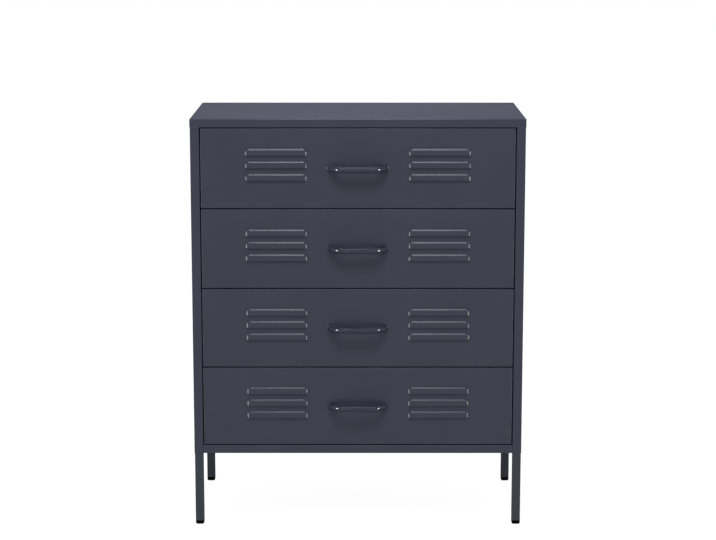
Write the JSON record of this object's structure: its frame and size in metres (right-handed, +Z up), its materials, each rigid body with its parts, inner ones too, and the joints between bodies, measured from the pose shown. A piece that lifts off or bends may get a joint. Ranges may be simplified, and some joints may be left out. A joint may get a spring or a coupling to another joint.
{
  "type": "metal drawer cabinet",
  "caption": "Free-standing sheet-steel chest of drawers with flush louvred fronts and bow handles, on square legs; each drawer pulls out on telescopic slides.",
  "frame": {"origin": "on the floor, under the middle of the chest's bounding box with its handles", "axes": "+X to the right as seen from the front, +Y from the drawer fronts to the back, +Z up"},
  "size_m": [0.8, 0.4362, 1],
  "materials": {
    "powder_coat": "slate grey powder coat, fine texture, satin",
    "handle_coat": "slate grey powder coat on cast metal, smoother than the sheet",
    "foot_plastic": "black moulded plastic",
    "zinc_slide": "bright zinc plated rolled steel",
    "zinc_screw": "bright zinc plated"
  },
  "bodies": {
    "cabinet": {"top_panel": "powder_coat", "bottom_panel": "powder_coat", "left_side_panel": "powder_coat", "right_side_panel": "powder_coat", "back_panel": "powder_coat", "front_left_leg": "powder_coat", "front_right_leg": "powder_coat", "rear_left_leg": "powder_coat", "rear_right_leg": "powder_coat", "front_left_foot": "foot_plastic", "front_right_foot": "foot_plastic", "rear_left_foot": "foot_plastic", "rear_right_foot": "foot_plastic", "back_screws": "zinc_screw", "leg_screws": "zinc_screw", "slide_screws": "zinc_screw", "left_cabinet_slide_1": "zinc_slide", "right_cabinet_slide_1": "zinc_slide", "left_cabinet_slide_2": "zinc_slide", "right_cabinet_slide_2": "zinc_slide", "left_cabinet_slide_3": "zinc_slide", "right_cabinet_slide_3": "zinc_slide", "left_cabinet_slide_4": "zinc_slide", "right_cabinet_slide_4": "zinc_slide"},
    "drawer_1": {"drawer_front_1": "powder_coat", "drawer_box_1": "powder_coat", "handle_1": "handle_coat", "handle_screws_1": "zinc_screw", "drawer_screws_1": "zinc_screw", "left_drawer_slide_1": "zinc_slide", "right_drawer_slide_1": "zinc_slide"},
    "slide_middles_1": {"left_middle_slide_1": "zinc_slide", "right_middle_slide_1": "zinc_slide"},
    "drawer_2": {"drawer_front_2": "powder_coat", "drawer_box_2": "powder_coat", "handle_2": "handle_coat", "handle_screws_2": "zinc_screw", "drawer_screws_2": "zinc_screw", "left_drawer_slide_2": "zinc_slide", "right_drawer_slide_2": "zinc_slide"},
    "slide_middles_2": {"left_middle_slide_2": "zinc_slide", "right_middle_slide_2": "zinc_slide"},
    "drawer_3": {"drawer_front_3": "powder_coat", "drawer_box_3": "powder_coat", "handle_3": "handle_coat", "handle_screws_3": "zinc_screw", "drawer_screws_3": "zinc_screw", "left_drawer_slide_3": "zinc_slide", "right_drawer_slide_3": "zinc_slide"},
    "slide_middles_3": {"left_middle_slide_3": "zinc_slide", "right_middle_slide_3": "zinc_slide"},
    "drawer_4": {"drawer_front_4": "powder_coat", "drawer_box_4": "powder_coat", "handle_4": "handle_coat", "handle_screws_4": "zinc_screw", "drawer_screws_4": "zinc_screw", "left_drawer_slide_4": "zinc_slide", "right_drawer_slide_4": "zinc_slide"},
    "slide_middles_4": {"left_middle_slide_4": "zinc_slide", "right_middle_slide_4": "zinc_slide"}
  },
  "joints": [
    {"name": "drawer_1_pull", "type": "slide", "parent": "cabinet", "child": "drawer_1", "axis": [0, -1, 0], "range_m": [0, 0.34]},
    {"name": "slide_middles_1_run", "type": "slide", "parent": "cabinet", "child": "slide_middles_1", "axis": [0, -1, 0], "range_m": [0, 0.17]},
    {"name": "drawer_2_pull", "type": "slide", "parent": "cabinet", "child": "drawer_2", "axis": [0, -1, 0], "range_m": [0, 0.34]},
    {"name": "slide_middles_2_run", "type": "slide", "parent": "cabinet", "child": "slide_middles_2", "axis": [0, -1, 0], "range_m": [0, 0.17]},
    {"name": "drawer_3_pull", "type": "slide", "parent": "cabinet", "child": "drawer_3", "axis": [0, -1, 0], "range_m": [0, 0.34]},
    {"name": "slide_middles_3_run", "type": "slide", "parent": "cabinet", "child": "slide_middles_3", "axis": [0, -1, 0], "range_m": [0, 0.17]},
    {"name": "drawer_4_pull", "type": "slide", "parent": "cabinet", "child": "drawer_4", "axis": [0, -1, 0], "range_m": [0, 0.34]},
    {"name": "slide_middles_4_run", "type": "slide", "parent": "cabinet", "child": "slide_middles_4", "axis": [0, -1, 0], "range_m": [0, 0.17]}
  ],
  "couplings": [
    {"joint": "slide_middles_1_run", "follows": "drawer_1_pull", "ratio": 0.5},
    {"joint": "slide_middles_2_run", "follows": "drawer_2_pull", "ratio": 0.5},
    {"joint": "slide_middles_3_run", "follows": "drawer_3_pull", "ratio": 0.5},
    {"joint": "slide_middles_4_run", "follows": "drawer_4_pull", "ratio": 0.5}
  ]
}
